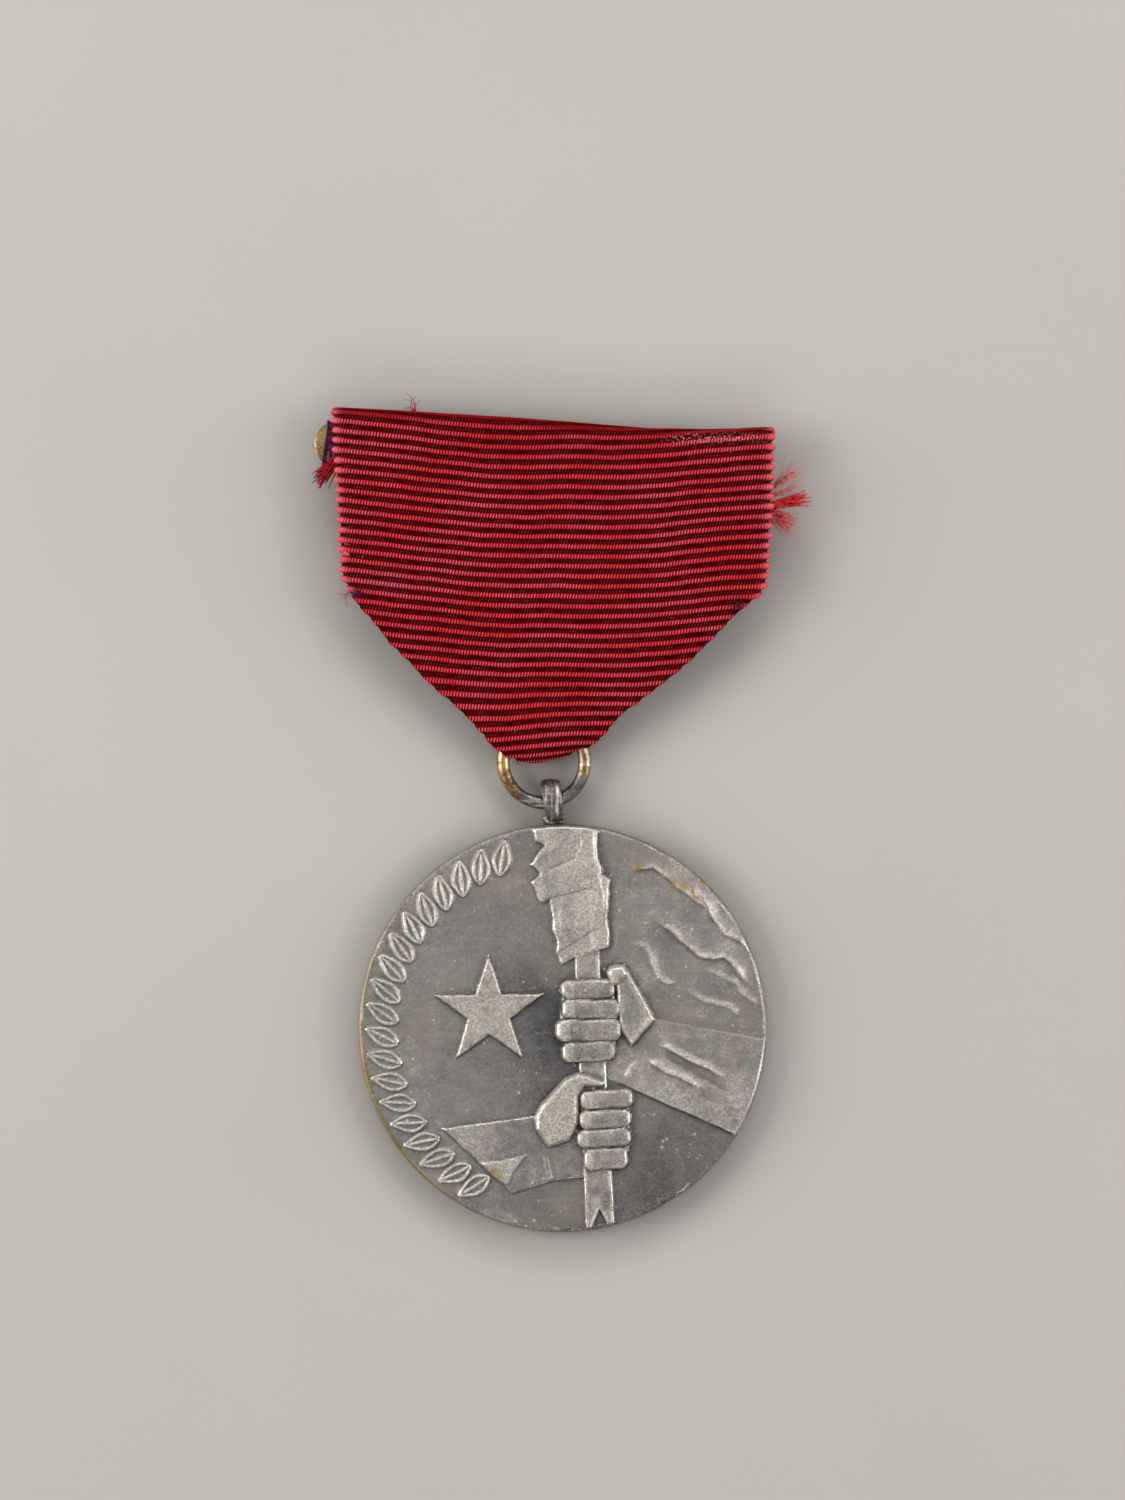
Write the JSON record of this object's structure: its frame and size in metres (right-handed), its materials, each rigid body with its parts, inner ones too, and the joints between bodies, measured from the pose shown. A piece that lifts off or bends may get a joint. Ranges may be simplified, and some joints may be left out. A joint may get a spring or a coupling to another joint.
{
  "type": "medal",
  "caption": "Round struck silver-grey medal hung by an eye and a jump ring from a folded crimson ribbon with a brooch bar, pin and catch behind it.",
  "frame": {"origin": "centre of the medal disc's flat back face, which lies on the table", "axes": "+Y from the disc towards the ribbon's top, +X to the right seen from the front, +Z out of the struck face"},
  "size_m": [0.0395, 0.071, 0.0049],
  "materials": {
    "struck_metal": "patinated silver plate, satin",
    "solder": "dull tin-silver solder",
    "ring_wire": "brass wire, plating partly worn",
    "brooch_brass": "aged brass",
    "pin_steel": "drawn steel wire",
    "ribbon_cloth": "ribbed crimson grosgrain",
    "thread": "dark purple sewing thread"
  },
  "bodies": {
    "brooch": {"brooch_bar": "brooch_brass", "pin_hinge_bracket": "brooch_brass", "hinge_rivet": "brooch_brass", "catch_hook": "brooch_brass", "ribbon_upper": "ribbon_cloth", "bar_stitches": "thread", "hem_stitches": "thread"},
    "pin": {"pin_stem": "pin_steel"},
    "ribbon_end": {"ribbon_lower": "ribbon_cloth", "corner_stitch_left": "thread", "corner_stitch_right": "thread"},
    "ring": {"jump_ring": "ring_wire"},
    "medal": {"medal_disc": "struck_metal", "suspension_loop": "struck_metal", "loop_solder": "solder"}
  },
  "joints": [
    {"name": "pin_open", "type": "hinge", "parent": "brooch", "child": "pin", "pos_m": [0.01279, 0.04896, 0.0008], "axis": [0.0419, 0.9991, 0], "range_deg": [-80, 0]},
    {"name": "ribbon_flex", "type": "hinge", "parent": "brooch", "child": "ribbon_end", "pos_m": [0, 0.041, 0.00435], "axis": [1, 0, 0], "range_deg": [-45, 25]},
    {"name": "ring_turn", "type": "hinge", "parent": "ribbon_end", "child": "ring", "pos_m": [-0.00163, 0.02297, 0.00175], "axis": [0, 0, 1], "range_deg": [-30, 30]},
    {"name": "medal_swing", "type": "hinge", "parent": "ring", "child": "medal", "pos_m": [-0.00087, 0.01953, 0.00175], "axis": [0.999, 0.0454, 0], "range_deg": [-120, 100]}
  ]
}
